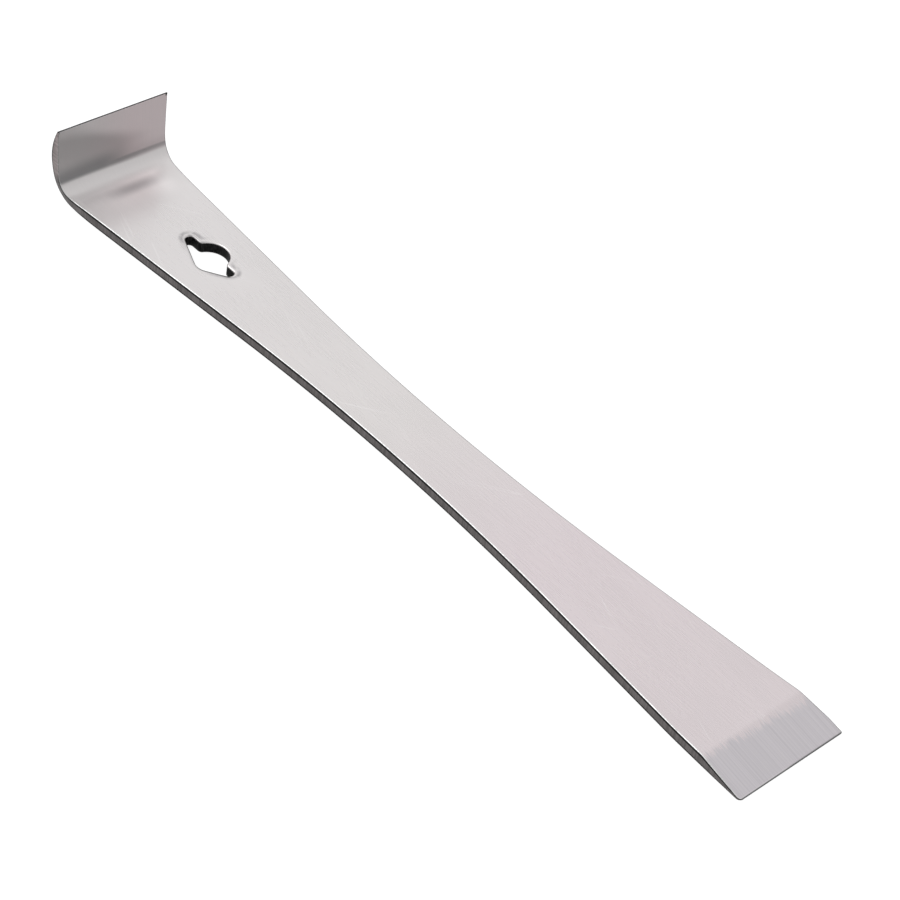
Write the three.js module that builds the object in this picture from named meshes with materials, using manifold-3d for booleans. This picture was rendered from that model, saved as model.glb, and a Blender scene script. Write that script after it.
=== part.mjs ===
// Flat-bar hive tool: one bar of sheet steel with a short upturned hook, a waisted shank with a
// double-ended keyhole, and a flared blade. Millimetres. The tool lies on its underside, z = 0,
// with its length along X, the blade towards +X and the hook standing up at -X.

import * as THREE from 'three';
import { mergeVertices } from 'three/addons/utils/BufferGeometryUtils.js';
import Module from 'manifold-3d';

const wasm = await Module();
wasm.setup();

// Bar
const OVERALL_LENGTH = 266; // back of the hook to the blade's edge
const THICKNESS = 3.2;

// Hook
const HOOK_HEIGHT = 23; // underside of the bar to the hook's edge
const HOOK_LEAN = THREE.MathUtils.degToRad(5); // how far past upright the hook leans back
const BEND_INSIDE_RADIUS = 5.5;
const HOOK_EDGE_WIDTH = 38;
const HOOK_EDGE_THICKNESS = 0.5;
const HOOK_GRIND_LENGTH = 11; // rounded bevel on the back of the hook, down from its edge

// Shank outline
const BEND_WIDTH = 34.2; // width of the bar where the bend starts
const WAIST_WIDTH = 19.6;
const WAIST_X = -1.2;
const WAIST_RADIUS = 720;

// Blade
const BLADE_WIDTH = 38;
const BLADE_GRIND_LENGTH = 13.5; // bevel on the top face, back from the edge
const BLADE_EDGE_THICKNESS = 0.4;
const BLADE_CORNER_RADIUS = 1;

// Nail hole: a round lobe with a narrow round-ended slot at each end, along the bar. On its +Y side
// the slots open into the lobe through fillets. On its -Y side the outline runs straight from the
// slots' ends to a smaller, off-centre round, the heel.
const HOLE_X = -85.8;
const HOLE_Y = 0.4;
const HOLE_LOBE_RADIUS = 5.6;
const HOLE_SLOT_RADIUS = 1.3; // half of the slot's width
const HOLE_FILLET_RADIUS = 1.4;
const HOLE_LENGTH = 19.8;
const HOLE_HEEL_RADIUS = 4.2;
const HOLE_HEEL_X = 1.8; // from the hole's middle
const HOLE_HEEL_Y = -1.2;

// Prisms reach this far past the bar before they are cut to shape
const CUT_MARGIN = 4;
const CURVE_SEGMENTS = 12;

const BLADE_X = OVERALL_LENGTH / 2;
const HOOK_BACK_X = -OVERALL_LENGTH / 2;
const BEND_OUTSIDE_RADIUS = BEND_INSIDE_RADIUS + THICKNESS;
const BEND_CENTRE_Z = THICKNESS + BEND_INSIDE_RADIUS;

// Unit vectors of the hook: up along its faces, and from its back towards the blade
const hookUp = new THREE.Vector2(-Math.sin(HOOK_LEAN), Math.cos(HOOK_LEAN));
const hookInward = new THREE.Vector2(Math.cos(HOOK_LEAN), Math.sin(HOOK_LEAN));

// Length of the hook's inner face above the bend, and of its back face up to the bevel
const HOOK_FACE_LENGTH = (HOOK_HEIGHT - BEND_CENTRE_Z + BEND_INSIDE_RADIUS * hookInward.y) / hookUp.y;
const HOOK_BACK_LENGTH = HOOK_FACE_LENGTH - HOOK_GRIND_LENGTH;

// The bevel is an arc that starts along the back face and ends at the hook's edge
const HOOK_GRIND_DEPTH = THICKNESS - HOOK_EDGE_THICKNESS;
const HOOK_GRIND_RADIUS = (HOOK_GRIND_LENGTH ** 2 + HOOK_GRIND_DEPTH ** 2) / (2 * HOOK_GRIND_DEPTH);

// The bevel reaches furthest back where it has turned upright
const HOOK_OVERHANG = -HOOK_BACK_LENGTH * hookUp.x + HOOK_GRIND_RADIUS * (1 - hookInward.x);
const BEND_CENTRE_X = HOOK_BACK_X + BEND_OUTSIDE_RADIUS * hookInward.x + HOOK_OVERHANG;

// Side view of the bar, in X and Z
function sideProfile() {
  const centre = new THREE.Vector2(BEND_CENTRE_X, BEND_CENTRE_Z);
  const backFoot = centre.clone().addScaledVector(hookInward, -BEND_OUTSIDE_RADIUS);
  const faceFoot = centre.clone().addScaledVector(hookInward, -BEND_INSIDE_RADIUS);
  const bevelStart = backFoot.clone().addScaledVector(hookUp, HOOK_BACK_LENGTH);
  const bevelCentre = bevelStart.clone().addScaledVector(hookInward, HOOK_GRIND_RADIUS);
  const bevelTurn = Math.asin(HOOK_GRIND_LENGTH / HOOK_GRIND_RADIUS);
  const edgeFront = faceFoot.clone().addScaledVector(hookUp, HOOK_FACE_LENGTH);
  const down = -Math.PI / 2;
  const towardsHook = Math.PI + HOOK_LEAN;
  const towardsEdge = towardsHook - bevelTurn;

  const shape = new THREE.Shape();
  shape.moveTo(BLADE_X, 0);
  shape.lineTo(BLADE_X, BLADE_EDGE_THICKNESS);
  shape.lineTo(BLADE_X - BLADE_GRIND_LENGTH, THICKNESS);
  shape.lineTo(BEND_CENTRE_X, THICKNESS);
  shape.absarc(BEND_CENTRE_X, BEND_CENTRE_Z, BEND_INSIDE_RADIUS, down, towardsHook, true);
  shape.lineTo(edgeFront.x, edgeFront.y);
  shape.absarc(bevelCentre.x, bevelCentre.y, HOOK_GRIND_RADIUS, towardsEdge, towardsHook, false);
  shape.absarc(BEND_CENTRE_X, BEND_CENTRE_Z, BEND_OUTSIDE_RADIUS, towardsHook, down, false);
  return shape;
}

// Angle, from straight down, of the waist arc's radius at the tangent that runs through a point
// of the outline at (x, halfWidth). The arc is centred on the far side of that outline.
function waistTangentAngle(x, halfWidth) {
  const across = x - WAIST_X;
  const up = halfWidth - (WAIST_WIDTH / 2 + WAIST_RADIUS);
  const distance = Math.hypot(across, up);
  const bearing = Math.atan2(across, -up);
  return Math.sign(across) * (Math.abs(bearing) - Math.acos(WAIST_RADIUS / distance));
}

// Plan view of the shank and blade, in X and Y: straight tapers that meet in a waist arc
function planOutline() {
  const hookHalf = BEND_WIDTH / 2;
  const bladeHalf = BLADE_WIDTH / 2;
  const arcY = WAIST_WIDTH / 2 + WAIST_RADIUS;
  const hookAngle = waistTangentAngle(BEND_CENTRE_X, hookHalf);
  const bladeAngle = waistTangentAngle(BLADE_X, bladeHalf);
  const down = -Math.PI / 2;
  const up = Math.PI / 2;

  // The blade's corner turns from the taper's direction to straight across the blade
  const taper = bladeAngle;
  const cornerX = BLADE_X - BLADE_CORNER_RADIUS;
  const cornerSetback = BLADE_CORNER_RADIUS * Math.tan((Math.PI / 2 + taper) / 2);
  const cornerY = bladeHalf - cornerSetback;

  const shape = new THREE.Shape();
  shape.absarc(WAIST_X, -arcY, WAIST_RADIUS, up - hookAngle, up - bladeAngle, true);
  shape.absarc(cornerX, -cornerY, BLADE_CORNER_RADIUS, down - taper, 0, false);
  shape.absarc(cornerX, cornerY, BLADE_CORNER_RADIUS, 0, up + taper, false);
  shape.absarc(WAIST_X, arcY, WAIST_RADIUS, down + bladeAngle, down + hookAngle, true);
  shape.lineTo(BEND_CENTRE_X, hookHalf);
  shape.lineTo(BEND_CENTRE_X, -hookHalf);
  shape.closePath();
  shape.holes.push(nailHole());
  return shape;
}

// The nail hole's outline in plan
function nailHole() {
  const slotCentre = HOLE_LENGTH / 2 - HOLE_SLOT_RADIUS;
  const filletReach = HOLE_LOBE_RADIUS + HOLE_FILLET_RADIUS;
  const filletY = HOLE_SLOT_RADIUS + HOLE_FILLET_RADIUS;
  const filletAngle = Math.asin(filletY / filletReach);
  const filletX = filletReach * Math.cos(filletAngle);
  const nearFlank = flankAngle(HOLE_HEEL_X + slotCentre);
  const farFlank = flankAngle(slotCentre - HOLE_HEEL_X);
  const quarter = Math.PI / 2;
  const half = Math.PI;

  const hole = new THREE.Path();
  const arc = (x, y, radius, start, end, clockwise) =>
    hole.absarc(HOLE_X + x, HOLE_Y + y, radius, start, end, clockwise);
  arc(slotCentre, 0, HOLE_SLOT_RADIUS, farFlank - quarter, quarter, false);
  arc(filletX, filletY, HOLE_FILLET_RADIUS, -quarter, filletAngle - half, true);
  arc(0, 0, HOLE_LOBE_RADIUS, filletAngle, half - filletAngle, false);
  arc(-filletX, filletY, HOLE_FILLET_RADIUS, -filletAngle, -quarter, true);
  arc(-slotCentre, 0, HOLE_SLOT_RADIUS, quarter, half + quarter - nearFlank, false);
  arc(HOLE_HEEL_X, HOLE_HEEL_Y, HOLE_HEEL_RADIUS, -quarter - nearFlank, farFlank - quarter, false);
  hole.closePath();
  return hole;
}

// How steeply the straight flank falls from a slot's end to the heel, this far along the bar
function flankAngle(along) {
  const distance = Math.hypot(along, HOLE_HEEL_Y);
  const fall = Math.atan2(-HOLE_HEEL_Y, along);
  return fall + Math.asin((HOLE_HEEL_RADIUS - HOLE_SLOT_RADIUS) / distance);
}

// Front view of the bend and hook, in Y and Z: the bar's taper carries on up to the hook's edge
function hookFront() {
  const footHalf = BEND_WIDTH / 2;
  const edgeHalf = HOOK_EDGE_WIDTH / 2;
  const shape = new THREE.Shape();
  shape.moveTo(-footHalf, -CUT_MARGIN);
  shape.lineTo(footHalf, -CUT_MARGIN);
  shape.lineTo(footHalf, THICKNESS);
  shape.lineTo(edgeHalf, HOOK_HEIGHT);
  shape.lineTo(edgeHalf, HOOK_HEIGHT + CUT_MARGIN);
  shape.lineTo(-edgeHalf, HOOK_HEIGHT + CUT_MARGIN);
  shape.lineTo(-edgeHalf, HOOK_HEIGHT);
  shape.lineTo(-footHalf, THICKNESS);
  return shape;
}

function extruded(shape, depth) {
  const settings = { depth, bevelEnabled: false, curveSegments: CURVE_SEGMENTS };
  return new THREE.ExtrudeGeometry(shape, settings);
}

// A closed geometry as a manifold solid, ready to be joined or cut
function toSolid(geometry) {
  const bare = geometry.clone();
  bare.deleteAttribute('normal');
  bare.deleteAttribute('uv');
  const merged = mergeVertices(bare);
  const vertProperties = new Float32Array(merged.getAttribute('position').array);
  const triVerts = new Uint32Array(merged.getIndex().array);
  return new wasm.Manifold(new wasm.Mesh({ numProp: 3, vertProperties, triVerts }));
}

function toGeometry(solid) {
  const { vertProperties, triVerts } = solid.getMesh();
  const geometry = new THREE.BufferGeometry();
  geometry.setAttribute('position', new THREE.BufferAttribute(vertProperties, 3));
  geometry.setIndex(new THREE.BufferAttribute(triVerts, 1));
  const flatShaded = geometry.toNonIndexed();
  flatShaded.computeVertexNormals();
  return flatShaded;
}

// The side profile drawn through the whole width of the bar
function profileSolid() {
  const reach = Math.max(HOOK_EDGE_WIDTH, BLADE_WIDTH) + 2 * CUT_MARGIN;
  const geometry = extruded(sideProfile(), reach);
  geometry.rotateX(Math.PI / 2);
  geometry.translate(0, reach / 2, 0);
  return toSolid(geometry);
}

// The plan outline, drawn through the thickness of the bar
function planSolid() {
  const geometry = extruded(planOutline(), THICKNESS + CUT_MARGIN);
  geometry.translate(0, 0, -CUT_MARGIN / 2);
  return toSolid(geometry);
}

// The hook's front outline, drawn from behind the hook to where the bend starts
function hookSolid() {
  const reach = BEND_CENTRE_X - HOOK_BACK_X + CUT_MARGIN;
  const geometry = extruded(hookFront(), reach);
  geometry.rotateX(Math.PI / 2);
  geometry.rotateZ(Math.PI / 2);
  geometry.translate(HOOK_BACK_X - CUT_MARGIN, 0, 0);
  return toSolid(geometry);
}

const satinSteel = new THREE.MeshStandardMaterial({ color: 0xd4d0d1, roughness: 0.35, metalness: 1 });

function hiveTool() {
  const outline = planSolid().add(hookSolid());
  const solid = profileSolid().intersect(outline);
  const mesh = new THREE.Mesh(toGeometry(solid), satinSteel);
  mesh.name = 'hive_tool';
  return mesh;
}

const tool = new THREE.Group();
tool.add(hiveTool());

export default tool;
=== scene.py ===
"""A one-piece steel hive tool lying on a pale studio floor, hook up, in the frame of its CAD model.

Metres, +Z up, the bar along X with its hook at -X and its blade at +X. The bar is modelled flat, as
the blank it is bent from, in bar coordinates: s along the blank from where the bend starts (minus
towards the hook), y across it, and h through its thickness from the underside.
"""

import bisect
import functools
import math

import bmesh
import bpy
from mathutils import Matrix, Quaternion, Vector


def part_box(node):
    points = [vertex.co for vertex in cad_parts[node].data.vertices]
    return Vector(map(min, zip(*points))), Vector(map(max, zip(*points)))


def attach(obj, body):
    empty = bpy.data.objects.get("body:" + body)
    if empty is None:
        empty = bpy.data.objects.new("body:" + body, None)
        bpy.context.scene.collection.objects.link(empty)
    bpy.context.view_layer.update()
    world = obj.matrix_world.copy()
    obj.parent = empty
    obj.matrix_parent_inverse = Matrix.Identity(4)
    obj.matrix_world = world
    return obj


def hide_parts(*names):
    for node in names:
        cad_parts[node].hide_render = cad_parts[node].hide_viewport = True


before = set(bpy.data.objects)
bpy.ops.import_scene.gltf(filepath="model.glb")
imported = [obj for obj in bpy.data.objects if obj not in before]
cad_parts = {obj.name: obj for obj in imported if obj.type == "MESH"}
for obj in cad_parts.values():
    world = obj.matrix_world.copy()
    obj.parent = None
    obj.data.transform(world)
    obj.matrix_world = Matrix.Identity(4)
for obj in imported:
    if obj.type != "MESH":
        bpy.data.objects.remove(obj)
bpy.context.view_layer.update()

MM = 0.001
NODE = "hive_tool"
LOW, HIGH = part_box(NODE)

# The bar, as the CAD model has it
THICKNESS = 3.2 * MM
BEND_INSIDE_RADIUS = 5.5 * MM
HOOK_LEAN = math.radians(5)
HOOK_GRIND_LENGTH = 11 * MM
HOOK_EDGE_THICKNESS = 0.5 * MM
BEND_HALF_WIDTH = 17.1 * MM
WAIST_HALF_WIDTH = 9.8 * MM
WAIST_X = -1.2 * MM
WAIST_RADIUS = 720 * MM
BLADE_HALF_WIDTH = HIGH.y
BLADE_GRIND_LENGTH = 13.5 * MM
BLADE_EDGE_THICKNESS = 0.4 * MM
HOLE_X, HOLE_Y = -85.8 * MM, 0.4 * MM
HOLE_LOBE_RADIUS = 5.6 * MM
HOLE_SLOT_RADIUS = 1.3 * MM
HOLE_FILLET_RADIUS = 1.4 * MM
HOLE_LENGTH = 19.8 * MM
HOLE_HEEL_RADIUS = 4.2 * MM
HOLE_HEEL_ALONG = 1.8 * MM  # from the hole's middle
HOLE_HEEL_ACROSS = -1.2 * MM

BEND_ANGLE = math.pi / 2 - HOOK_LEAN
BEND_MIDDLE_RADIUS = BEND_INSIDE_RADIUS + THICKNESS / 2
BEND_LENGTH = BEND_MIDDLE_RADIUS * BEND_ANGLE
BEND_CENTRE_Z = THICKNESS + BEND_INSIDE_RADIUS
HOOK_UP = Vector((-math.sin(HOOK_LEAN), 0, math.cos(HOOK_LEAN)))
HOOK_INWARD = Vector((math.cos(HOOK_LEAN), 0, math.sin(HOOK_LEAN)))
HOOK_LENGTH = (HIGH.z - BEND_CENTRE_Z + BEND_INSIDE_RADIUS * HOOK_INWARD.z) / HOOK_UP.z
HOOK_BACK_LENGTH = HOOK_LENGTH - HOOK_GRIND_LENGTH
HOOK_GRIND_DEPTH = THICKNESS - HOOK_EDGE_THICKNESS
HOOK_GRIND_RADIUS = (HOOK_GRIND_LENGTH**2 + HOOK_GRIND_DEPTH**2) / (2 * HOOK_GRIND_DEPTH)
HOOK_OVERHANG = HOOK_GRIND_RADIUS * (1 - HOOK_INWARD.x) - HOOK_BACK_LENGTH * HOOK_UP.x
BEND_X = LOW.x + (BEND_INSIDE_RADIUS + THICKNESS) * HOOK_INWARD.x + HOOK_OVERHANG
BLADE_S = HIGH.x - BEND_X
TIP_S = -BEND_LENGTH - HOOK_LENGTH
HOLE_S = HOLE_X - BEND_X
SLOT_CENTRE = HOLE_LENGTH / 2 - HOLE_SLOT_RADIUS
FILLET_REACH = HOLE_LOBE_RADIUS + HOLE_FILLET_RADIUS
FILLET_Y = HOLE_SLOT_RADIUS + HOLE_FILLET_RADIUS
FILLET_ALONG = math.sqrt(FILLET_REACH**2 - FILLET_Y**2)

# How the press, the bend and the grinder left the steel. Where a pair has no note of its own, it is
# for the -Y and the +Y side.
TOP_EDGE_RADIUS = 0.3 * MM  # rolled over where the punch went in
BOTTOM_EDGE_RADIUS = 0.14 * MM
HOLE_TOP_RADII = (1 * MM, 0.35 * MM)
HOLE_BOTTOM_RADIUS = 0.2 * MM
HOLE_DRIFT = (0.45 * MM, -0.4 * MM)  # how far the punch strayed on its way down, along and across
HOLE_DISH_DEPTH = 0.16 * MM
HOLE_DISH_REACH = 1.3 * MM
HOOK_FLARES = ((4.2 * MM, -2.7 * MM), (2.9 * MM, -1.02 * MM))  # by the way up, and by its square
HOOK_SKEW = 0.045  # how much less the hook stands up at its +Y corner
BEND_BULGE = 0.45 * MM  # the inner edges swell and the outer ones draw in
BEND_BULGE_REACH = 0.75  # of the bend's length
BEND_LIP = 0.3 * MM  # how far the bar's sides are pushed inwards in the bend
BEND_LIP_POWER = 8
BEND_EASE = 3 * MM  # half of the length in which the bend's curve sets in
BEVEL_SOFTNESS = 0.08 * MM
BLADE_OFFSET = 0.55 * MM  # how much narrower the blade is on its -Y side
BLADE_OFFSET_POWER = 4
BLADE_SET = (0.9 * MM, 0.5 * MM)  # how far each side of the blade's end is set over towards +Y
BLADE_SET_LENGTH = 25 * MM
BLADE_SET_POWER = 1.3
BLADE_CORNER_RADII = (1.2 * MM, 0.35 * MM)
RADII_IN_THICKNESS = 2.6  # the least that a section's thickness holds of an edge's radius

# Mesh resolution
COLUMNS = 26  # cells across the flat of the bar
ROUND_STEPS = 4
SIDE_STEPS = 3
HOLE_POINTS = 150
HOLE_RINGS = [gap * MM for gap in (0, 0.03, 0.08, 0.16, 0.26, 0.38, 0.52, 0.7, 0.95, 1.25, 1.65, 2.3)]
OUTLINE_SAMPLES = 4000
HALVINGS = 40
CORNER_STEPS = 7
BEND_STEPS = 200
ROW_MARGIN = 0.25 * MM
WINDOW_MARGIN = 3.2 * MM  # past each end of the hole
WINDOW_EDGE = 5  # columns left between the hole's window and the bar's side
WALL_STEPS = 4
TIP_ROWS = (0.12 * MM, 0.3 * MM)  # from the hook's edge
CHANGE_MARGIN = 2 * MM  # how far close rows reach past the bend and the bevel's start
CLOSE_STEP = 0.5 * MM
HOOK_STEP = 1.1 * MM
HOLE_STEP = 1 * MM
HOLE_REACH = 16 * MM  # from the hole's middle
SHANK_STEP = 2 * MM
BEVEL_STEP = 1.2 * MM

TOP, RIGHT, BOTTOM, LEFT = range(4)  # parts of a section, with the +Y side on the right
FACE, EDGE, WALL = range(3)  # material slots


def smooth_min(a, b, softness):
    """The smaller of two lengths, with the corner between them rounded."""
    mix = max(0.0, min(1.0, 0.5 + 0.5 * (b - a) / softness))
    return b + (a - b) * mix - softness * mix * (1 - mix)


def bell(x, width):
    return math.exp(-((x / width) ** 2))


def waist_tangent_angle(x, half):
    """Where the straight taper through (x, half) meets the waist arc, as an angle of its radius."""
    across = x - WAIST_X
    up = WAIST_HALF_WIDTH + WAIST_RADIUS - half
    spread = math.acos(WAIST_RADIUS / math.hypot(across, up))
    return math.copysign(abs(math.atan2(across, up)) - spread, across)


def taper(x, x_end, half_end):
    """Half width at x on the straight taper that runs from the waist arc to (x_end, half_end)."""
    slope = math.tan(waist_tangent_angle(x_end, half_end))
    return half_end - slope * (x_end - x)


def plan_half_width(x):
    """Half width of the shank and blade at x, before the blade's corners are rounded."""
    offset = x - WAIST_X
    hook_offset = WAIST_RADIUS * math.sin(waist_tangent_angle(BEND_X, BEND_HALF_WIDTH))
    blade_offset = WAIST_RADIUS * math.sin(waist_tangent_angle(HIGH.x, BLADE_HALF_WIDTH))
    if offset < hook_offset:
        return taper(x, BEND_X, BEND_HALF_WIDTH)
    if offset > blade_offset:
        return taper(x, HIGH.x, BLADE_HALF_WIDTH)
    return WAIST_HALF_WIDTH + WAIST_RADIUS - math.sqrt(WAIST_RADIUS**2 - offset**2)


def half_width(s, side):
    """Half width of the blank at s, on the -Y side (0) or the +Y side (1)."""
    if s < 0:
        share = s / TIP_S
        first, second = HOOK_FLARES[side]
        return BEND_HALF_WIDTH + first * share + second * share**2
    radius = BLADE_CORNER_RADII[side]
    past = max(0.0, s - (BLADE_S - radius))
    corner = radius - math.sqrt(max(0.0, radius**2 - past**2))
    shift = BLADE_SET[side] * max(0.0, 1 - (BLADE_S - s) / BLADE_SET_LENGTH) ** BLADE_SET_POWER
    half = plan_half_width(BEND_X + s)
    if side:
        return min(BLADE_HALF_WIDTH, half + shift) - corner
    return half - BLADE_OFFSET * max(0.0, s / BLADE_S) ** BLADE_OFFSET_POWER - shift - corner


def top_height(s):
    """Height of the upper face: the blade's bevel runs down to a thin edge."""
    rise = (THICKNESS - BLADE_EDGE_THICKNESS) / BLADE_GRIND_LENGTH
    return smooth_min(THICKNESS, BLADE_EDGE_THICKNESS + rise * (BLADE_S - s), BEVEL_SOFTNESS)


def bottom_height(s):
    """Height of the lower face, which the round bevel on the hook's back raises."""
    past = max(0.0, TIP_S + HOOK_GRIND_LENGTH - s)
    return HOOK_GRIND_RADIUS - math.sqrt(HOOK_GRIND_RADIUS**2 - past**2)


def flank_distance(along, y, end):
    """Distance from the straight-sided shape that runs from the slot's end to the hole's heel."""
    length = math.hypot(HOLE_HEEL_ALONG - end, HOLE_HEEL_ACROSS)
    step = (HOLE_HEEL_ALONG - end) / length, HOLE_HEEL_ACROSS / length
    reach = (along - end) * step[0] + y * step[1]
    aside = abs(y * step[0] - (along - end) * step[1])
    sine = (HOLE_HEEL_RADIUS - HOLE_SLOT_RADIUS) / length
    cosine = math.sqrt(1 - sine**2)
    place_on_side = reach * cosine + aside * sine
    if place_on_side < 0:
        return math.hypot(reach, aside) - HOLE_SLOT_RADIUS
    if place_on_side > length * cosine:
        return math.hypot(reach - length, aside) - HOLE_HEEL_RADIUS
    return aside * cosine - reach * sine - HOLE_SLOT_RADIUS


def hole_distance(s, y):
    """Distance in plan from the nail hole's outline, minus inside it."""
    along = abs(s - HOLE_S)
    y -= HOLE_Y
    lobe = math.hypot(along, y) - HOLE_LOBE_RADIUS
    slot = math.hypot(max(0.0, along - SLOT_CENTRE), y) - HOLE_SLOT_RADIUS
    if y < 0:
        return min(flank_distance(s - HOLE_S, y, end) for end in (-SLOT_CENTRE, SLOT_CENTRE))
    in_fillet = along < FILLET_ALONG and y * FILLET_ALONG < along * FILLET_Y
    if in_fillet and y < FILLET_Y and slot > -HOLE_SLOT_RADIUS:
        return HOLE_FILLET_RADIUS - math.hypot(along - FILLET_ALONG, y - FILLET_Y)
    return min(lobe, slot)


def rollover(distance, radius):
    """How far a rounded edge of this radius has dropped, at a distance in from the edge."""
    inside = max(0.0, radius - distance)
    return radius - math.sqrt(max(0.0, radius**2 - inside**2))


def press_marks(s, y):
    """How far the upper face has sunk at a point round the nail hole."""
    return HOLE_DISH_DEPTH * bell(max(0.0, hole_distance(s, y)), HOLE_DISH_REACH)


def bend_share(s):
    return bell(s + BEND_LENGTH / 2, BEND_BULGE_REACH * BEND_LENGTH)


def eased(reach):
    """The positive part of a length, with its corner rounded over the bend's ease."""
    if abs(reach) < BEND_EASE:
        return (reach + BEND_EASE) ** 2 / (4 * BEND_EASE)
    return max(0.0, reach)


def bend_turn(reach):
    """How far the bar has turned up at this reach past the start of the bend."""
    return (eased(reach) - eased(reach - BEND_LENGTH)) / BEND_MIDDLE_RADIUS


def bend_path():
    """The bar's middle line through the bend, as (back, up) steps from where it starts to curve."""
    step = (BEND_LENGTH + 2 * BEND_EASE) / BEND_STEPS
    path = [(0.0, 0.0)]
    for i in range(BEND_STEPS):
        turn = bend_turn(step * (i + 0.5) - BEND_EASE)
        back, up = path[-1]
        path.append((back + step * math.cos(turn), up + step * math.sin(turn)))
    arc_back, arc_up = math.sin(BEND_ANGLE), 1 - math.cos(BEND_ANGLE)
    gap_back = BEND_MIDDLE_RADIUS * arc_back + BEND_EASE * (1 + math.cos(BEND_ANGLE)) - path[-1][0]
    gap_up = BEND_MIDDLE_RADIUS * arc_up + BEND_EASE * math.sin(BEND_ANGLE) - path[-1][1]
    shares = [i / BEND_STEPS for i in range(BEND_STEPS + 1)]
    return [(b + gap_back * k, u + gap_up * k) for (b, u), k in zip(path, shares)]


BEND_PATH = bend_path()


def place(s, y, h, across):
    """A point of the blank in the row frame, bent. across runs from -1 to 1 over the bar's width."""
    share = bend_share(s)
    y += BEND_BULGE * share * (2 * h / THICKNESS - 1) * across
    h += BEND_LIP * share * abs(across) ** BEND_LIP_POWER
    if s >= BEND_EASE:
        return Vector((BEND_X + s, y, h))
    turn = bend_turn(-s)
    steps = (BEND_EASE - s) / (BEND_LENGTH + 2 * BEND_EASE) * BEND_STEPS
    first = min(int(steps), BEND_STEPS - 1)
    part = min(steps - first, 1.0)
    (back, up), (next_back, next_up) = BEND_PATH[first : first + 2]
    back += (next_back - back) * part
    up += (next_up - up) * part
    middle = Vector((BEND_X + BEND_EASE - back, y, THICKNESS / 2 + up))
    point = middle + Vector((math.sin(turn), 0, math.cos(turn))) * (h - THICKNESS / 2)
    skew = 1 - HOOK_SKEW * (1 + y / HIGH.y) / 2
    point += HOOK_UP * max(0.0, -s - BEND_LENGTH - BEND_EASE) * skew
    return Vector((point.x, point.y, max(0.0, point.z)))


def spread(start, end, step):
    """Evenly spaced values from start up to, and without, end."""
    count = max(1, round((end - start) / step))
    return [start + (end - start) * i / count for i in range(count)]


def stations():
    """Where the sections stand along the bar, close together where it bends or changes."""
    bevel = BLADE_S - BLADE_GRIND_LENGTH
    corner = BLADE_S - max(BLADE_CORNER_RADII)
    first, second = TIP_ROWS
    values = [TIP_S, TIP_S + first]
    values += spread(TIP_S + second, -BEND_LENGTH - CHANGE_MARGIN, HOOK_STEP)
    values += spread(-BEND_LENGTH - CHANGE_MARGIN, CHANGE_MARGIN, CLOSE_STEP)
    values += spread(CHANGE_MARGIN, HOLE_S + HOLE_REACH, HOLE_STEP)
    values += spread(HOLE_S + HOLE_REACH, bevel - CHANGE_MARGIN, SHANK_STEP)
    values += spread(bevel - CHANGE_MARGIN, bevel + CHANGE_MARGIN, CLOSE_STEP)
    values += spread(bevel + CHANGE_MARGIN, corner, BEVEL_STEP)
    values += [BLADE_S - r * (1 - math.sin(a)) for r, a in corner_steps()]
    return sorted(values)


def corner_steps():
    """Radii and angles of the sections that round the blade's two corners."""
    turns = [math.pi / 2 * i / CORNER_STEPS for i in range(CORNER_STEPS + 1)]
    wide, narrow = BLADE_CORNER_RADII
    pairs = [(wide, a) for a in turns]
    pairs += [(narrow, a) for a in turns[1:-1]]
    return pairs


def quarter_turn(y, h, radius, start):
    """Points of a clockwise quarter turn of this radius about (y, h), from the angle start."""
    turn = math.pi / 2
    angles = [start - turn * i / ROUND_STEPS for i in range(ROUND_STEPS + 1)]
    return [(y + radius * math.cos(a), h + radius * math.sin(a)) for a in angles]


def row(start, end, height):
    """The points of a flat face from start to end across the bar, with one close to each end."""
    first, last = start + ROW_MARGIN, end - ROW_MARGIN
    flat = [first + (last - first) * i / COLUMNS for i in range(COLUMNS + 1)]
    return [(y, height(y)) for y in (start, *flat, end)]


def section(s):
    """The bar's cross-section at s as (y, h) points, in four parts, clockwise from the top row."""
    top, bottom = top_height(s), bottom_height(s)
    room = (top - bottom) / RADII_IN_THICKNESS
    over, under = min(TOP_EDGE_RADIUS, room), min(BOTTOM_EDGE_RADIUS, room)
    left, right = -half_width(s, 0), half_width(s, 1)
    up, low = top - over, bottom + under
    rise = [low + (up - low) * i / SIDE_STEPS for i in range(1, SIDE_STEPS)]

    top_row = row(left + over, right - over, lambda y: top - press_marks(s, y))
    right_side = quarter_turn(right - over, up, over, math.pi / 2)[1:]
    right_side += [(right, h) for h in reversed(rise)]
    right_side += quarter_turn(right - under, low, under, 0)[:-1]
    bottom_row = row(left + under, right - under, lambda y: bottom)[::-1]
    left_side = quarter_turn(left + under, low, under, -math.pi / 2)[1:]
    left_side += [(left, h) for h in rise]
    left_side += quarter_turn(left + over, up, over, math.pi)[:-1]
    return top_row, right_side, bottom_row, left_side


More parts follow.
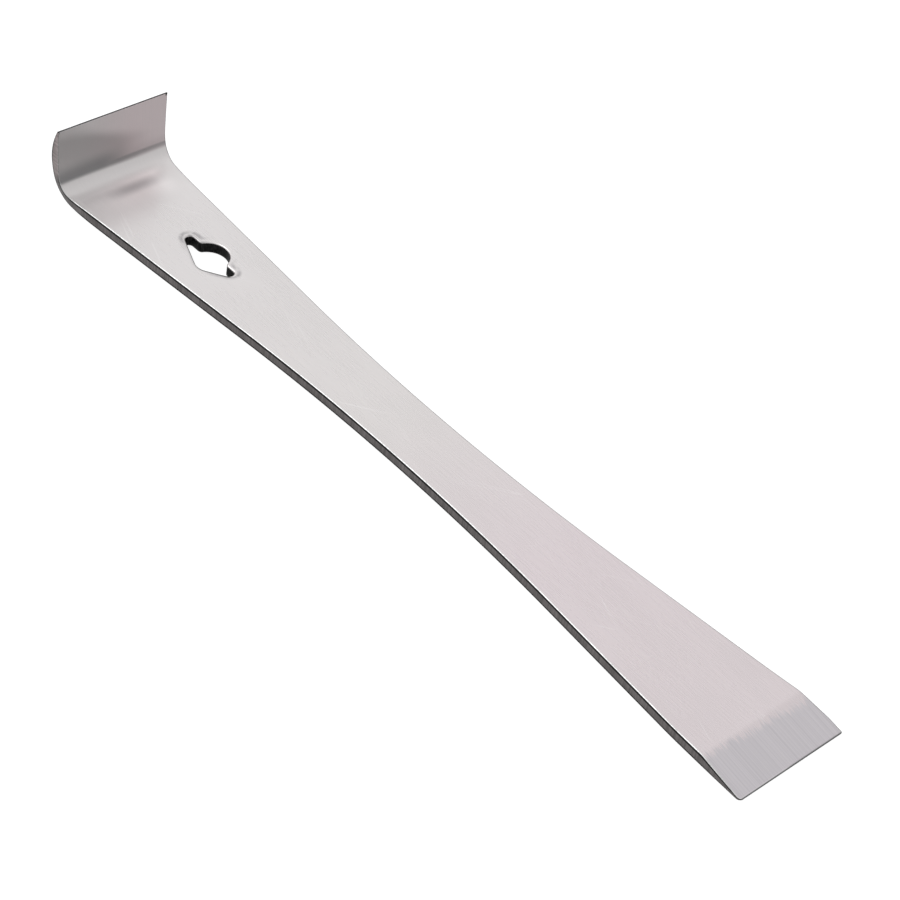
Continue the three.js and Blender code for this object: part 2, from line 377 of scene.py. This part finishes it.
class BarMesh:
    """Collects the bar's vertices, each with its bar coordinates, and its faces."""

    def __init__(self):
        self.bm = bmesh.new()
        self.bar = self.bm.verts.layers.float_vector.new("bar")
        self.level = self.bm.verts.layers.float.new("level")
        self.hole = self.bm.verts.layers.float.new("hole")
        self.rim = self.bm.verts.layers.float.new("rim")

    def vertex(self, s, y, h):
        half = half_width(s, int(y > 0))
        point = self.bm.verts.new(place(s, y, h, y / half))
        point[self.bar] = (s, y, h)
        point[self.level] = (h - bottom_height(s)) / (top_height(s) - bottom_height(s))
        point[self.hole] = max(0.0, hole_distance(s, y))
        point[self.rim] = max(0.0, min(half - abs(y), BLADE_S - s, s - TIP_S))
        return point

    def face(self, corners, slot):
        face = self.bm.faces.new(corners)
        face.material_index = slot
        face.smooth = True

    def strip(self, here, there, slot, closed=False):
        """Quads between two lines of vertices."""
        count = len(here) if closed else len(here) - 1
        for k in range(count):
            n = (k + 1) % len(here)
            self.face((here[k], there[k], there[n], here[n]), slot)

    def fill(self, outer, inner, slot):
        """Triangles between two closed lines of vertices that are already edges."""
        loops = [(line[k - 1], line[k]) for line in (outer, inner) for k in range(len(line))]
        edges = [self.bm.edges.get(pair) for pair in loops]
        made = bmesh.ops.triangle_fill(self.bm, edges=edges, use_beauty=True, normal=(0, 0, 1))
        for face in made["geom"]:
            if isinstance(face, bmesh.types.BMFace):
                face.material_index = slot
                face.smooth = True

    def finish(self, name):
        loose = [v for v in self.bm.verts if not v.link_faces]
        bmesh.ops.delete(self.bm, geom=loose, context="VERTS")
        bmesh.ops.recalc_face_normals(self.bm, faces=self.bm.faces)
        mesh = bpy.data.meshes.new(name)
        self.bm.to_mesh(mesh)
        self.bm.free()
        return mesh


def hole_window(rows):
    """Sections and columns of the rectangle round the nail hole that the hole's rings fill."""
    reach = HOLE_LENGTH / 2 + WINDOW_MARGIN
    inside = [i for i, s in enumerate(rows) if abs(s - HOLE_S) <= reach]
    columns = COLUMNS + 2
    return range(inside[0], inside[-1]), range(WINDOW_EDGE, columns - WINDOW_EDGE)


def skin(bar, sections, window):
    """Joins each section to the next, leaving the hole's window open on both faces."""
    window_rows, window_columns = window
    for i, (here, there) in enumerate(zip(sections, sections[1:])):
        for part in (TOP, BOTTOM):
            for j in range(len(here[part]) - 1):
                if not (i in window_rows and j in window_columns):
                    pair = slice(j, j + 2)
                    bar.strip(here[part][pair], there[part][pair], FACE)
        for part, before, after in ((RIGHT, TOP, BOTTOM), (LEFT, BOTTOM, TOP)):
            near = [here[before][-1], *here[part], here[after][0]]
            far = [there[before][-1], *there[part], there[after][0]]
            bar.strip(near, far, EDGE)


def cap(bar, ends):
    """Closes an end of the bar across its thin edge."""
    top, right, bottom, left = ends
    bar.strip(top, bottom[::-1], EDGE)
    bar.face([top[-1], *right, bottom[0]], EDGE)
    bar.face([bottom[-1], *left, top[0]], EDGE)


def hole_angles():
    """Directions from the hole's centre that space points evenly along its outline."""
    turns = [2 * math.pi * i / OUTLINE_SAMPLES for i in range(OUTLINE_SAMPLES + 1)]
    points = [hole_point(turn, 0) for turn in turns]
    total = [0.0]
    for a, b in zip(points, points[1:]):
        total.append(total[-1] + math.dist(a, b))
    step = total[-1] / HOLE_POINTS
    return [turns[bisect.bisect_left(total, step * i)] for i in range(HOLE_POINTS)]


def hole_point(turn, gap):
    """The point (s, y) in this direction from the hole's centre that is this far outside the hole."""
    near, far = 0.0, HOLE_LENGTH
    for _ in range(HALVINGS):
        middle = (near + far) / 2
        s, y = HOLE_S + middle * math.cos(turn), HOLE_Y + middle * math.sin(turn)
        if hole_distance(s, y) < gap:
            near = middle
        else:
            far = middle
    return s, y


def hole_rings(bar, angles, height, drift):
    """Closed lines of vertices round the nail hole on one face, from its rim outwards."""
    along, across = drift
    rings = []
    for gap in HOLE_RINGS:
        points = [hole_point(turn, gap) for turn in angles]
        points = [(s + along, y + across) for s, y in points]
        rings.append([bar.vertex(s, y, height(s, y, gap)) for s, y in points])
    for inner, outer in zip(rings, rings[1:]):
        bar.strip(inner, outer, FACE, closed=True)
    return rings


def window_border(sections, window, part):
    """The closed line of vertices round the hole's window on one face."""
    window_rows, window_columns = window
    first, last = window_columns[0], window_columns[-1] + 1
    grid = [sections[i][part] for i in range(window_rows[0], window_rows[-1] + 2)]
    border = [line[first] for line in grid[:-1]] + grid[-1][first:last]
    border += [line[last] for line in grid[:0:-1]] + grid[0][last:first:-1]
    return border


def hole_wall(bar, upper, lower):
    """The wall of the hole, between its rims on the two faces."""
    previous = upper
    for k in range(1, WALL_STEPS):
        level = []
        for above, below in zip(upper, lower):
            level.append(bar.vertex(*above[bar.bar].lerp(below[bar.bar], k / WALL_STEPS)))
        bar.strip(previous, level, WALL, closed=True)
        previous = level
    bar.strip(previous, lower, WALL, closed=True)


def add_hole(bar, sections, window):
    """Rings round the nail hole on both faces, and the wall between them."""
    angles = hole_angles()
    rims = []
    for part, height, drift in ((TOP, hole_top, (0, 0)), (BOTTOM, hole_bottom, HOLE_DRIFT)):
        rings = hole_rings(bar, angles, height, drift)
        bar.fill(window_border(sections, window, part), rings[-1], FACE)
        rims.append(rings[0])
    hole_wall(bar, *rims)


def hole_top(s, y, gap):
    """Height of the upper face at this gap from the hole: its rim is rounder on the -Y side."""
    near, far = HOLE_TOP_RADII
    radius = far + (near - far) * (0.5 - 0.5 * math.tanh(y / HOLE_SLOT_RADIUS))
    return top_height(s) - press_marks(s, y) - rollover(gap, radius)


def hole_bottom(s, y, gap):
    return bottom_height(s) + rollover(gap, HOLE_BOTTOM_RADIUS)


def build_bar():
    """The whole tool as one closed mesh."""
    bar = BarMesh()
    rows = stations()
    sections = []
    for s in rows:
        sections.append([[bar.vertex(s, y, h) for y, h in part] for part in section(s)])
    window = hole_window(rows)
    skin(bar, sections, window)
    cap(bar, sections[0])
    cap(bar, sections[-1])
    add_hole(bar, sections, window)
    return bar.finish("hive_tool_body")


tool = bpy.data.objects.new("hive_tool_body", build_bar())
bpy.context.scene.collection.objects.link(tool)
tool.modifiers.new("even_normals", "WEIGHTED_NORMAL")
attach(tool, "root")
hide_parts(NODE)


# Materials. A pair of lengths says where a mark starts to fade in and where it is whole: along the
# bar, from where the bend starts, unless it has a note of its own.

SHANK_TINTS = [  # along the bar
    (-TIP_S / (BLADE_S - TIP_S), (0.72, 0.695, 0.695)),
    (0.5, (0.72, 0.69, 0.685)),
    (0.8, (0.71, 0.64, 0.66)),
    (0.95, (0.7, 0.635, 0.65)),
]
HOOK_TINTS = [(0.1, (0.68, 0.66, 0.66)), (0.75, (0.735, 0.65, 0.66))]  # across the hook
GROUND_TINTS = [(0.34, (0.53, 0.505, 0.53)), (0.66, (0.61, 0.58, 0.605))]
CLOUD_TINTS = [(0.3, 0.965), (0.7, 1.0)]
HOOK_START = (-7.5 * MM, -9.2 * MM)
HOOK_START_SLANT = (0.3 * MM, 1 * MM)  # how much nearer the blade it is on the -Y and the +Y side
# Painted light and shade on the hook: its colour is raised at its +Y edge and lowered at its -Y foot,
# where the shank's reflection falls.
HOOK_SHADE_END = -14 * MM
HOOK_LIGHT_AND_SHADE = (1.12, 0.72)  # from the edge on the +Y side to the foot on the -Y side
# Painted shade in the crease where the hook rises from the bend, with a darker painted line where the
# hook starts.
CREASE_SHADE = (-15 * MM, -10 * MM)
CREASE_SHADE_LINE = (-10.7 * MM, -9.7 * MM)
CREASE_SHADE_COLOUR = (0.28, 0.28, 0.285)
# Painted highlight: the flat just in front of the bend is painted brighter, short of its +Y edge.
BEND_HIGHLIGHT_START = (-2.5 * MM, 1 * MM)
BEND_HIGHLIGHT_END = (13 * MM, 1 * MM)
BEND_HIGHLIGHT_COLOUR = (0.97, 0.94, 0.94)
# Painted shade standing in for a shallow press dent just in front of the bend, which the mesh does not
# model.
DENT_SHADE_ALONG, DENT_SHADE_ACROSS = 3.4 * MM, 2 * MM  # its middle
DENT_SHADE_LENGTH = (3.5 * MM, 0)  # from its middle
DENT_SHADE_WIDTH = (13 * MM, 1 * MM)  # from its middle, across
DENT_SHADE_COLOUR = (0.3, 0.3, 0.31)
SCRATCH_START = (5 * MM, 12 * MM)
SCRATCH_ANGLES = (21, -37)  # degrees
SCRATCH_CELLS = ((400, 3, 3), (400, 4, 4))  # millimetres, as for all noise
SCRATCH_PATCHES = (17, 5, 5)
SCRATCH_COLOUR = (0.85, 0.83, 0.83)
# Painted shade: grey rings past the hole's ends stand in for the shading of the pressed dish round
# them.
DISH_SHADE_RING = ((0.5 * MM, 1.1 * MM), (2.4 * MM, 1.3 * MM))  # out from the hole
DISH_SHADE_RING_ENDS = (4.5 * MM, 8 * MM)  # from the hole's middle
DISH_SHADE_COLOUR = (0.3, 0.29, 0.3)
# Painted shade that dims the rim's highlight past the hole's end towards the hook.
DARK_RIM = (0.6 * MM, 0.3 * MM)  # out from the hole
DARK_RIM_END = (-4.5 * MM, -6 * MM)  # from the hole's middle
DARK_RIM_ACROSS = (0.5 * MM, 1.2 * MM)  # across the bar, from its middle
LEFT_RIM_SHADE_COLOUR = (0.22, 0.215, 0.22)
# Painted shade: a near-black line along the rolled rim on the hole's -Y side.
LIP = (1.3 * MM, 0.85 * MM)  # out from the hole
LIP_START = (1 * MM, 4.5 * MM)  # from the hole's middle
LIP_ACROSS = (-0.2 * MM, -1.2 * MM)  # across the bar, from its middle
LIP_SHADE_COLOUR = (0.04, 0.04, 0.042)
# Painted light along the long edges of the upper face: a painted highlight on the -Y side and painted
# shade on the +Y side.
EDGE_LIGHT_REACH = (0.5 * MM, 0.15 * MM)  # in from the bar's side
EDGE_LIGHT_START = (-9 * MM, -4 * MM)
EDGE_HIGHLIGHT_AND_SHADE_COLOURS = ((0.9, 0.88, 0.88), (0.4, 0.39, 0.39))  # on the -Y and the +Y side
NOSE = (BLADE_S - 0.3 * MM, BLADE_S - 0.1 * MM)
NOSE_COLOUR = (0.1, 0.1, 0.1)
HOOK_CORNER = (TIP_S + 0.9 * MM, TIP_S + 0.4 * MM)
HOOK_CORNER_ACROSS = (17.9 * MM, 18.5 * MM)  # across the bar, from its middle
HOOK_CORNER_COLOUR = (0.03, 0.03, 0.03)
MATT_END = (18 * MM, 3 * MM)
BRUSH_DEPTH = 0.008 * MM
BEVEL_WANDER = (-2.4 * MM, 0.8 * MM)  # how far back and forth its ragged start strays
BEVEL_SLANT = -2 * MM  # added on the +Y side, where the blade's bevel starts nearer its edge
BEVEL_SPAN = (-0.9 * MM, 0.7 * MM)  # from where the bevel starts
HOOK_BEVEL_SPAN = (0.4 * MM, -0.4 * MM)
# The darkest band at the foot of the side is a painted contact shadow.
SIDE_BAND = [  # up the bar's side
    (0.0, 0.012), (0.13, 0.015), (0.2, (0.25, 0.23, 0.23)), (0.74, (0.26, 0.24, 0.24)),
    (0.79, 0.02), (0.935, 0.025), (0.965, 0.7), (1.0, 0.85),
]
HOOK_SIDE_BAND = [
    (0.0, 0.06), (0.1, 0.12), (0.22, (0.46, 0.4, 0.4)), (0.9, (0.52, 0.46, 0.46)), (1.0, 0.5),
]
HOOK_SIDE_START = (-8.5 * MM, -13 * MM)
# Painted shade on the rolled top edge of the +Y side.
FAR_RIM_SHADE_COLOUR = (0.3, 0.29, 0.29)
THIN_EDGE = 0.1 * MM  # how far in the bar's two thin ends reach
THIN_EDGE_COLOUR = (0.03, 0.029, 0.03)
TEAR_DEPTH = 0.05 * MM
# Near-black: dark scale and painted shade inside the hole.
SCALE_AND_SHADE_TINTS = [(0.35, 0.012), (0.6, 0.028), (0.75, 0.06)]
SCORE_DEPTH = 0.04 * MM


class Graph:
    """The nodes of one material or world, added and linked by short calls."""

    def __init__(self, tree):
        self.nodes, self.links = tree.nodes, tree.links

    @functools.cached_property
    def bar(self):
        return self.attribute("bar", "Vector")

    @functools.cached_property
    def along(self):
        return self.add("SeparateXYZ", (self.bar,), output="X")

    @functools.cached_property
    def across(self):
        return self.add("SeparateXYZ", (self.bar,), output="Y")

    @functools.cached_property
    def side(self):
        """From 0 on the bar's -Y side to 1 on its +Y side."""
        return self.fade(self.across, LOW.y, HIGH.y)

    @functools.cached_property
    def level(self):
        """From 0 on the bar's lower face to 1 on its upper face."""
        return self.attribute("level")

    def add(self, kind, inputs=(), output=0, **settings):
        """Adds a node with these settings and inputs, and gives one of its outputs."""
        node = self.nodes.new("ShaderNode" + kind)
        for name, value in settings.items():
            setattr(node, name, value)
        pairs = inputs.items() if isinstance(inputs, dict) else enumerate(inputs)
        for key, value in pairs:
            self.feed(node.inputs[key], value)
        return node.outputs[output]

    def feed(self, socket, value):
        if isinstance(value, bpy.types.NodeSocket):
            self.links.new(value, socket)
        else:
            socket.default_value = value

    def attribute(self, name, output="Fac"):
        return self.add("Attribute", output=output, attribute_name=name)

    def math(self, operation, *values):
        return self.add("Math", values, operation=operation)

    def product(self, first, *others):
        for other in others:
            first = self.math("MULTIPLY", first, other)
        return first

    def rest(self, share):
        """What a share leaves of the whole."""
        return self.math("SUBTRACT", 1.0, share)

    def off(self, value, middle):
        """How far a value lies from a middle one, on either side."""
        return self.math("ABSOLUTE", self.math("SUBTRACT", value, middle))

    def fade(self, value, start, end, low=0.0, high=1.0):
        """Runs smoothly from low to high while the value runs from start to end."""
        inputs = {"Value": value, "From Min": start, "From Max": end, "To Min": low, "To Max": high}
        return self.add("MapRange", inputs, interpolation_type="SMOOTHSTEP")

    def noise(self, cells, detail=3.0, place=None):
        """Noise whose blotches measure this many millimetres along, across and through the bar."""
        frequencies = [1 / (cell * MM) for cell in cells]
        place = self.bar if place is None else place
        stretched = self.add("VectorMath", (place, frequencies), operation="MULTIPLY")
        return self.add("TexNoise", {"Vector": stretched, "Scale": 1.0, "Detail": detail})

    def mix(self, share, a, b, blend="MIX"):
        inputs = {0: share, 6: a, 7: b}
        return self.add("Mix", inputs, output=2, data_type="RGBA", blend_type=blend)

    def lay_colour(self, share, colour, over):
        """Lays one even colour over another by this share, for painted light and shade as well as for
        scratches and dark marks.
        """
        return self.mix(share, colour, (*over, 1))

    def shade(self, colour, by):
        """Multiplies a colour by a grey or by another colour."""
        return self.mix(1.0, colour, by, "MULTIPLY")

    def ramp(self, value, stops):
        """Colour by value: stops are pairs of a position and a grey or a colour."""
        result = self.add("ValToRGB", (value,))
        elements = result.node.color_ramp.elements
        while len(elements) < len(stops):
            elements.new(1.0)
        for element, (position, colour) in zip(elements, stops):
            element.position = position
            element.color = (*colour, 1) if isinstance(colour, tuple) else (colour,) * 3 + (1,)
        return result

    def bump(self, height, depth):
        """The normal over grooves this deep, in metres."""
        return self.add("Bump", {"Strength": 1.0, "Distance": depth, "Height": height})


def new_material(name):
    material = bpy.data.materials.new(name)
    material.use_nodes = True
    return material, material.node_tree.nodes["Principled BSDF"]


def ground_share(graph):
    """Where the steel has been ground: the blade's bevel and the bevel on the hook's back."""
    ragged = graph.noise((400, 0.4, 400))
    wander = graph.fade(ragged, 0.25, 0.75, *BEVEL_WANDER)
    slant = graph.fade(graph.across, LOW.y, HIGH.y, 0.0, BEVEL_SLANT)
    shifted = graph.math("ADD", graph.along, graph.math("ADD", wander, slant))
    blade = graph.fade(shifted, *[BLADE_S - BLADE_GRIND_LENGTH + d for d in BEVEL_SPAN])
    hook = graph.fade(shifted, *[TIP_S + HOOK_GRIND_LENGTH + d for d in HOOK_BEVEL_SPAN])
    blade = graph.product(blade, graph.level)
    hook = graph.product(hook, graph.rest(graph.level))
    return graph.math("MAXIMUM", blade, hook)


def scratch_share(graph, angle, cells):
    """A few hairline scratches that run at an angle to the bar."""
    turned = graph.add("VectorRotate", {"Vector": graph.bar, "Angle": math.radians(angle)})
    wave = graph.off(graph.noise(cells, 1.0, turned), 0.5)
    line = graph.fade(wave, 0.0, 0.006, 1.0, 0.0)
    patches = graph.fade(graph.noise(SCRATCH_PATCHES, 1.0, turned), 0.57, 0.65)
    return graph.product(line, patches)


def scratched(graph, ground):
    """Where the shank is scratched, short of the bend and of the ground bevels."""
    pairs = zip(SCRATCH_ANGLES, SCRATCH_CELLS)
    scratches = graph.math("MAXIMUM", *[scratch_share(graph, angle, cells) for angle, cells in pairs])
    return graph.product(scratches, graph.fade(graph.along, *SCRATCH_START), graph.rest(ground))


def face_colour(graph):
    """The shank's pale steel, and the hook's, with painted shade in the crease towards the bend and on
    its -Y foot, where the shank's reflection falls, and painted light at its +Y edge.
    """
    along, side = graph.along, graph.side
    shank = graph.ramp(graph.fade(along, TIP_S, BLADE_S), SHANK_TINTS)
    up_hook = graph.math("SUBTRACT", along, graph.fade(side, 0.0, 1.0, *HOOK_START_SLANT))
    hooked = graph.fade(up_hook, *HOOK_START)
    # painted light and shade across the hook
    slope = graph.math("MULTIPLY_ADD", side, -1.3, graph.fade(along, TIP_S, HOOK_SHADE_END))
    hook = graph.shade(graph.ramp(side, HOOK_TINTS), graph.fade(slope, -0.3, 0.3, *HOOK_LIGHT_AND_SHADE))
    # painted shade in the crease
    crease_shade = graph.product(graph.fade(along, *CREASE_SHADE), graph.fade(side, 0.75, 0.3, 0.0, 0.78))
    crease_shade = graph.math("MAXIMUM", crease_shade, graph.fade(up_hook, *CREASE_SHADE_LINE, 0.0, 0.6))
    colour = graph.mix(hooked, shank, hook)
    return graph.lay_colour(graph.product(hooked, crease_shade), colour, CREASE_SHADE_COLOUR)


def bend_light_and_shade(graph, colour):
    """The flat in front of the bend: a painted highlight over most of its width, and painted shade
    where a shallow press dent lies.
    """
    along = graph.along
    # painted highlight
    bend_highlight = graph.product(
        graph.fade(along, *BEND_HIGHLIGHT_END),
        graph.fade(graph.side, 0.98, 0.82),
        graph.fade(along, *BEND_HIGHLIGHT_START),
    )
    colour = graph.lay_colour(bend_highlight, colour, BEND_HIGHLIGHT_COLOUR)
    # painted shade of the dent
    dent_shade = graph.product(
        graph.fade(graph.off(along, DENT_SHADE_ALONG), *DENT_SHADE_LENGTH),
        graph.fade(graph.off(graph.across, DENT_SHADE_ACROSS), *DENT_SHADE_WIDTH, 0.0, 0.55),
    )
    return graph.lay_colour(dent_shade, colour, DENT_SHADE_COLOUR)


def hole_rim_shade(graph, colour):
    """Painted shade round the nail hole: grey rings past its ends for the shading of the pressed dish,
    a dimmed rim at one end, and a dark lip on its -Y side.
    """
    hole = graph.attribute("hole")
    offset = graph.math("SUBTRACT", graph.along, HOLE_S)
    inner, outer = DISH_SHADE_RING
    # painted shade of the dish
    ring = graph.product(
        graph.fade(hole, *inner),
        graph.fade(hole, *outer),
        graph.fade(graph.noise((2.6, 2.6, 2.6), 2.0), 0.35, 0.6, 0.25, 1.0),
        graph.fade(graph.math("ABSOLUTE", offset), *DISH_SHADE_RING_ENDS, 0.0, 0.7),
    )
    colour = graph.lay_colour(ring, colour, DISH_SHADE_COLOUR)
    # painted shade on the rim
    rim = graph.product(
        graph.fade(hole, *DARK_RIM),
        graph.fade(offset, *DARK_RIM_END),
        graph.fade(graph.across, *DARK_RIM_ACROSS, 0.0, 0.6),
    )
    colour = graph.lay_colour(rim, colour, LEFT_RIM_SHADE_COLOUR)
    # painted shade on the rolled rim
    lip = graph.product(
        graph.fade(hole, *LIP),
        graph.fade(graph.across, *LIP_ACROSS),
        graph.fade(offset, *LIP_START, 0.1, 0.9),
    )
    return graph.lay_colour(lip, colour, LIP_SHADE_COLOUR)


def edge_light_and_shade(graph, colour):
    """Painted light along the long edges, a highlight on -Y and shade on +Y, then a dark nose and dark
    corners at the ends.
    """
    along, side = graph.along, graph.side
    rim = graph.attribute("rim")
    # painted highlight on -Y, painted shade on +Y
    edge_light_share = graph.product(graph.fade(rim, *EDGE_LIGHT_REACH), graph.fade(along, *EDGE_LIGHT_START))
    for span, over in zip(((0.55, 0.45), (0.45, 0.55)), EDGE_HIGHLIGHT_AND_SHADE_COLOURS):
        colour = graph.lay_colour(graph.product(edge_light_share, graph.fade(side, *span, 0.0, 0.4)), colour, over)
    colour = graph.lay_colour(graph.fade(along, *NOSE, 0.0, 0.75), colour, NOSE_COLOUR)
    corner = graph.fade(graph.math("ABSOLUTE", graph.across), *HOOK_CORNER_ACROSS)
    corner = graph.product(corner, graph.fade(along, *HOOK_CORNER))
    return graph.lay_colour(corner, colour, HOOK_CORNER_COLOUR)


def satin_steel():
    """The bar's faces: rolled and lightly brushed, ground on the bevels, with painted light and shade
    on the hook, by the bend, along the edges and round the hole.
    """
    material, bsdf = new_material("satin_steel")
    graph = Graph(material.node_tree)
    grain = graph.noise((9, 0.4, 400))
    hair = graph.noise((4, 0.14, 400), 2.0)
    cloud = graph.noise((30, 13, 13), 2.0)
    lines = graph.noise((70, 0.24, 400), 2.0)
    ground = ground_share(graph)
    scratches = scratched(graph, ground)

    colour = bend_light_and_shade(graph, face_colour(graph))
    for mottle in (cloud, grain):
        colour = graph.shade(colour, graph.ramp(mottle, CLOUD_TINTS))
    colour = graph.mix(ground, colour, graph.ramp(lines, GROUND_TINTS))
    colour = graph.lay_colour(graph.product(scratches, 0.35), colour, SCRATCH_COLOUR)
    colour = edge_light_and_shade(graph, hole_rim_shade(graph, colour))
    graph.feed(bsdf.inputs["Base Color"], colour)

    rough = graph.fade(grain, 0.3, 0.7, 0.24, 0.31)
    matt = graph.fade(graph.along, *MATT_END, 0.0, 0.12)
    for more in (graph.fade(cloud, 0.3, 0.7, 0, 0.03), graph.product(ground, 0.07), matt):
        rough = graph.math("ADD", rough, more)
    graph.feed(bsdf.inputs["Roughness"], rough)
    bsdf.inputs["Metallic"].default_value = 1

    brushed = graph.math("ADD", graph.product(grain, 0.5), graph.product(hair, 0.3))
    brushed = graph.product(brushed, graph.math("MULTIPLY_ADD", ground, -0.8, 1.0))
    brushed = graph.math("SUBTRACT", brushed, graph.product(scratches, 0.3))
    grooves = graph.product(lines, ground, 2.0)
    graph.feed(bsdf.inputs["Normal"], graph.bump(graph.math("ADD", brushed, grooves), BRUSH_DEPTH))
    return material


def sheared_edge():
    """The bar's sides: torn steel with fine upright stripes, dark along its borders, with a painted
    shadow along the foot and painted shade on the rolled top edge of the +Y side, and bright on top.
    """
    material, bsdf = new_material("sheared_edge")
    graph = Graph(material.node_tree)
    along, level = graph.along, graph.level
    stripes = graph.noise((0.5, 0.5, 7))
    blotches = graph.noise((6, 6, 2))
    # painted shade on the +Y rolled top edge
    far = graph.product(graph.fade(graph.across, -1 * MM, 1 * MM), graph.fade(level, 0.88, 0.93))
    band = graph.lay_colour(far, graph.ramp(level, SIDE_BAND), FAR_RIM_SHADE_COLOUR)
    upright = graph.ramp(level, HOOK_SIDE_BAND)
    colour = graph.mix(graph.fade(along, *HOOK_SIDE_START), band, upright)
    hook_end = graph.fade(along, TIP_S + THIN_EDGE, TIP_S)
    blade_end = graph.fade(along, BLADE_S - THIN_EDGE, BLADE_S)
    colour = graph.lay_colour(graph.math("MAXIMUM", hook_end, blade_end), colour, THIN_EDGE_COLOUR)
    colour = graph.shade(colour, graph.ramp(stripes, [(0.32, 0.62), (0.68, 1.0)]))
    colour = graph.shade(colour, graph.ramp(blotches, [(0.35, 0.8), (0.65, 1.0)]))
    graph.feed(bsdf.inputs["Base Color"], colour)
    bsdf.inputs["Metallic"].default_value = 1
    graph.feed(bsdf.inputs["Roughness"], graph.fade(level, 0.8, 0.95, 0.48, 0.26))
    torn = graph.product(stripes, graph.fade(level, 0.95, 0.8))
    graph.feed(bsdf.inputs["Normal"], graph.bump(torn, TEAR_DEPTH))
    return material


def punched_wall():
    """The wall of the nail hole: dark scale deepened by painted shade, scored straight down by the
    punch.
    """
    material, bsdf = new_material("punched_wall")
    graph = Graph(material.node_tree)
    scores = graph.noise((0.35, 0.35, 9))
    graph.feed(bsdf.inputs["Base Color"], graph.ramp(scores, SCALE_AND_SHADE_TINTS))
    bsdf.inputs["Metallic"].default_value = 1
    graph.feed(bsdf.inputs["Roughness"], graph.fade(scores, 0.3, 0.7, 0.42, 0.6))
    graph.feed(bsdf.inputs["Normal"], graph.bump(scores, SCORE_DEPTH))
    return material


for finish in (satin_steel(), sheared_edge(), punched_wall()):
    tool.data.materials.append(finish)

# Studio

CAMERA_PLACE = Vector((0.33982, -0.38923, 0.46508))
CAMERA_AIM = Vector((0.00677, 0.00622, 0))
CAMERA_ROLL = math.radians(11.289)
CAMERA_LENS = 107.857
CAMERA_SENSOR = 36
FLOOR_REACH = 6.0
FLOOR_GREY = (0.28, 0.28, 0.28, 1)
FLOOR_GLOW = 0.82
BACKDROP_RADIUS = 9.0
BACKDROP_GLOW = 1.05
BLACK, WHITE = (0, 0, 0, 1), (1, 1, 1, 1)
KEY_DIRECTION = Vector((-0.49, -0.34, 0.80))
KEY_SHARPNESS = 20.0
KEY_STRENGTH = 3.0
SKY = [  # from straight down to straight up
    (0.0, 0.72), (0.31, 0.72), (0.38, 0.4), (0.44, 0.28),
    (0.5, 0.5), (0.55, 0.8), (0.63, 1.0), (1.0, 1.0),
]
EAST_SHADE = 0.77  # how bright the sky is towards +X, when it is 1 towards -X


def link(name, data):
    made = bpy.data.objects.new(name, data)
    bpy.context.scene.collection.objects.link(made)
    return made


def add_camera():
    data = bpy.data.cameras.new("camera")
    data.lens = CAMERA_LENS
    data.sensor_width = CAMERA_SENSOR
    camera = link("camera", data)
    camera.location = CAMERA_PLACE
    look = (CAMERA_AIM - CAMERA_PLACE).to_track_quat("-Z", "Y")
    camera.rotation_mode = "QUATERNION"
    camera.rotation_quaternion = look @ Quaternion((0, 0, 1), CAMERA_ROLL)
    bpy.context.scene.camera = camera


def glowing_material(name, colour, strength):
    """A dull material that also gives off white light."""
    material, bsdf = new_material(name)
    bsdf.inputs["Base Color"].default_value = colour
    bsdf.inputs["Roughness"].default_value = 0.9
    bsdf.inputs["Specular IOR Level"].default_value = 0
    bsdf.inputs["Emission Color"].default_value = WHITE
    bsdf.inputs["Emission Strength"].default_value = strength
    return material


def add_floor():
    """A grey sheet that glows, so that it looks nearly white and the tool's shadow stays faint."""
    mesh = bpy.data.meshes.new("floor")
    corners = [(x * FLOOR_REACH, y * FLOOR_REACH, 0) for x, y in ((-1, -1), (1, -1), (1, 1), (-1, 1))]
    mesh.from_pydata(corners, [], [(0, 1, 2, 3)])
    floor = link("floor", mesh)
    mesh.materials.append(glowing_material("pale_floor", FLOOR_GREY, FLOOR_GLOW))
    floor.visible_glossy = False


def add_backdrop():
    """A white dome round the set, which only the camera sees."""
    dome = bmesh.new()
    bmesh.ops.create_icosphere(dome, subdivisions=4, radius=BACKDROP_RADIUS)
    mesh = bpy.data.meshes.new("backdrop")
    dome.to_mesh(mesh)
    dome.free()
    backdrop = link("backdrop", mesh)
    mesh.materials.append(glowing_material("white_backdrop", BLACK, BACKDROP_GLOW))
    backdrop.visible_diffuse = False
    backdrop.visible_glossy = False
    backdrop.visible_transmission = False
    backdrop.visible_shadow = False


def add_world():
    """The studio that the steel mirrors: a wide soft sky, a dark gap at the horizon, a white table."""
    world = bpy.data.worlds.new("studio")
    world.use_nodes = True
    bpy.context.scene.world = world
    graph = Graph(world.node_tree)
    direction = graph.add("TexCoord", output="Generated")
    up = graph.add("SeparateXYZ", (direction,), output="Z")
    east = graph.add("SeparateXYZ", (direction,), output="X")
    height = graph.math("MULTIPLY_ADD", up, 0.5, 0.5)
    sky = graph.product(graph.ramp(height, SKY), graph.fade(east, -0.5, 0.6, 1.0, EAST_SHADE))
    pair = (direction, KEY_DIRECTION)
    toward_key = graph.add("VectorMath", pair, output="Value", operation="DOT_PRODUCT")
    key = graph.math("POWER", graph.math("MAXIMUM", toward_key, 0.0), KEY_SHARPNESS)
    light = graph.math("MULTIPLY_ADD", key, KEY_STRENGTH, sky)
    graph.feed(graph.nodes["Background"].inputs["Color"], light)


add_camera()
add_floor()
add_backdrop()
add_world()
bpy.context.scene.view_settings.view_transform = "Standard"

bpy.context.view_layer.update()
